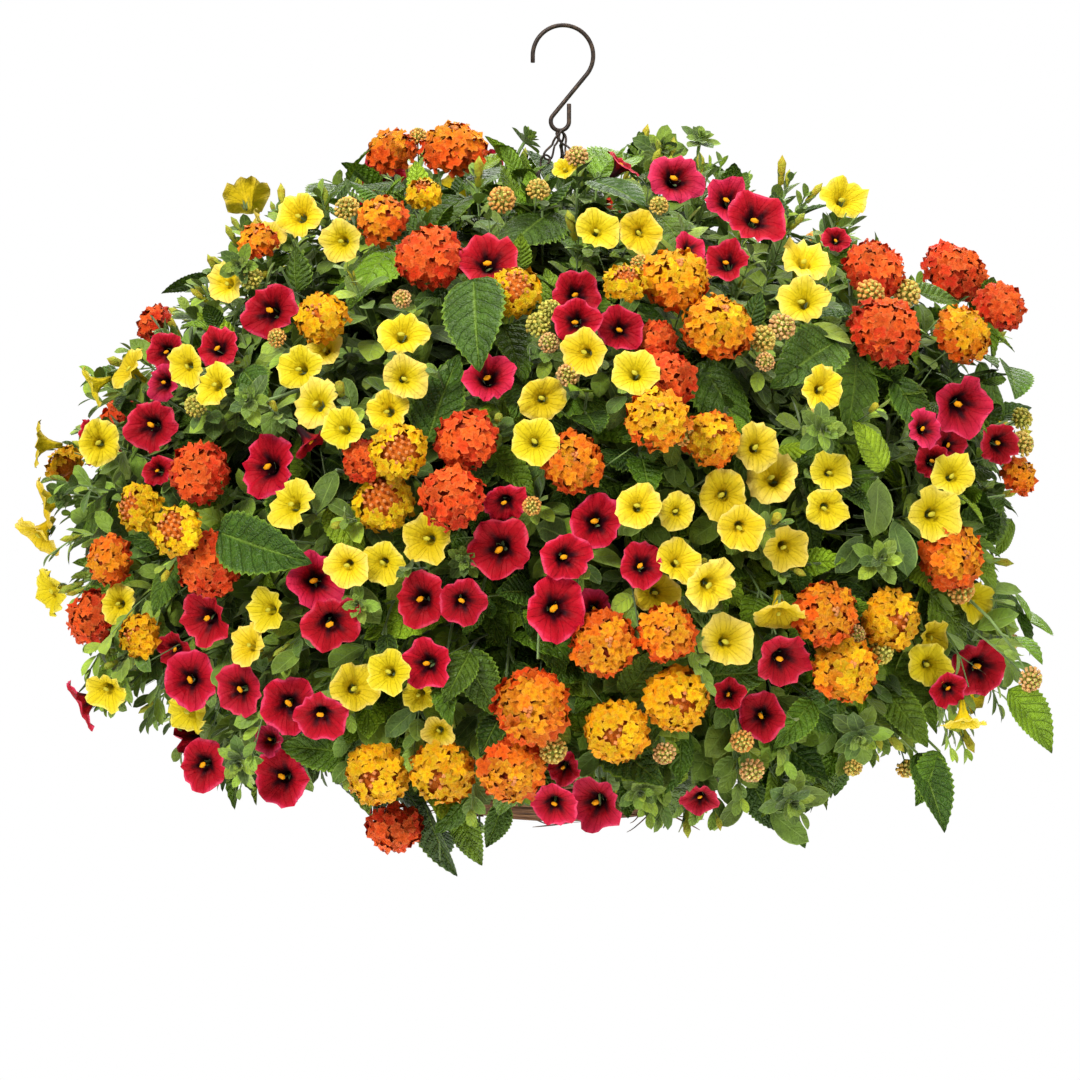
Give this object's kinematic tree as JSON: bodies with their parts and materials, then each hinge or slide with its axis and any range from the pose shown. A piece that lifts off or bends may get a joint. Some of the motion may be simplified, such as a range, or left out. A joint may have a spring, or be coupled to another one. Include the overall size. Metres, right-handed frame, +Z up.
{
  "type": "lantana hanging basket",
  "caption": "Round wicker basket on chains and an S hook, overflowing with domed lantana heads, funnel-shaped calibrachoa and toothed green leaves.",
  "frame": {"origin": "the inside of the hook's bow at its top, where it hangs", "axes": "+Z up; -Y towards the side that the picture shows; +X to that viewer's right"},
  "size_m": [0.6078, 0.5852, 0.4828],
  "materials": {
    "dark_bronze_wire": "satin dark bronze coating on steel wire",
    "wicker": "matt dry woven vine, red-brown",
    "liner": "thin black sheet",
    "soil": "dark crumbly potting soil",
    "orange_florets": "velvety orange and red petals",
    "gold_florets": "velvety golden yellow petals",
    "yellow_petals": "thin lemon yellow petals",
    "red_petals": "velvety crimson petals",
    "lantana_leaf": "semi-gloss quilted green leaf",
    "calibrachoa_leaf": "soft grey-green leaf"
  },
  "bodies": {
    "root": {"basket_liner": "liner", "calibrachoa_leaves_1": "calibrachoa_leaf", "calibrachoa_leaves_2": "calibrachoa_leaf", "calibrachoa_leaves_3": "calibrachoa_leaf", "calibrachoa_red_bells_1": "red_petals", "calibrachoa_red_bells_2": "red_petals", "calibrachoa_red_bells_3": "red_petals", "calibrachoa_red_bells_4": "red_petals", "calibrachoa_red_bells_5": "red_petals", "calibrachoa_red_bells_6": "red_petals", "calibrachoa_red_bells_7": "red_petals", "calibrachoa_yellow_bells_1": "yellow_petals", "calibrachoa_yellow_bells_2": "yellow_petals", "calibrachoa_yellow_bells_3": "yellow_petals", "calibrachoa_yellow_bells_4": "yellow_petals", "calibrachoa_yellow_bells_5": "yellow_petals", "calibrachoa_yellow_bells_6": "yellow_petals", "calibrachoa_yellow_bells_7": "yellow_petals", "chain_back": "dark_bronze_wire", "chain_left": "dark_bronze_wire", "chain_right": "dark_bronze_wire", "lantana_gold_heads_1": "gold_florets", "lantana_gold_heads_2": "gold_florets", "lantana_gold_heads_3": "gold_florets", "lantana_gold_heads_4": "gold_florets", "lantana_gold_heads_5": "gold_florets", "lantana_leaves_1": "lantana_leaf", "lantana_leaves_2": "lantana_leaf", "lantana_leaves_3": "lantana_leaf", "lantana_leaves_4": "lantana_leaf", "lantana_leaves_5": "lantana_leaf", "lantana_leaves_6": "lantana_leaf", "lantana_leaves_7": "lantana_leaf", "lantana_leaves_8": "lantana_leaf", "lantana_orange_heads_1": "orange_florets", "lantana_orange_heads_2": "orange_florets", "lantana_orange_heads_3": "orange_florets", "lantana_orange_heads_4": "orange_florets", "lantana_orange_heads_5": "orange_florets", "lantana_orange_heads_6": "orange_florets", "potting_soil": "soil", "s_hook": "dark_bronze_wire", "wicker_bowl": "wicker"}
  },
  "joints": []
}
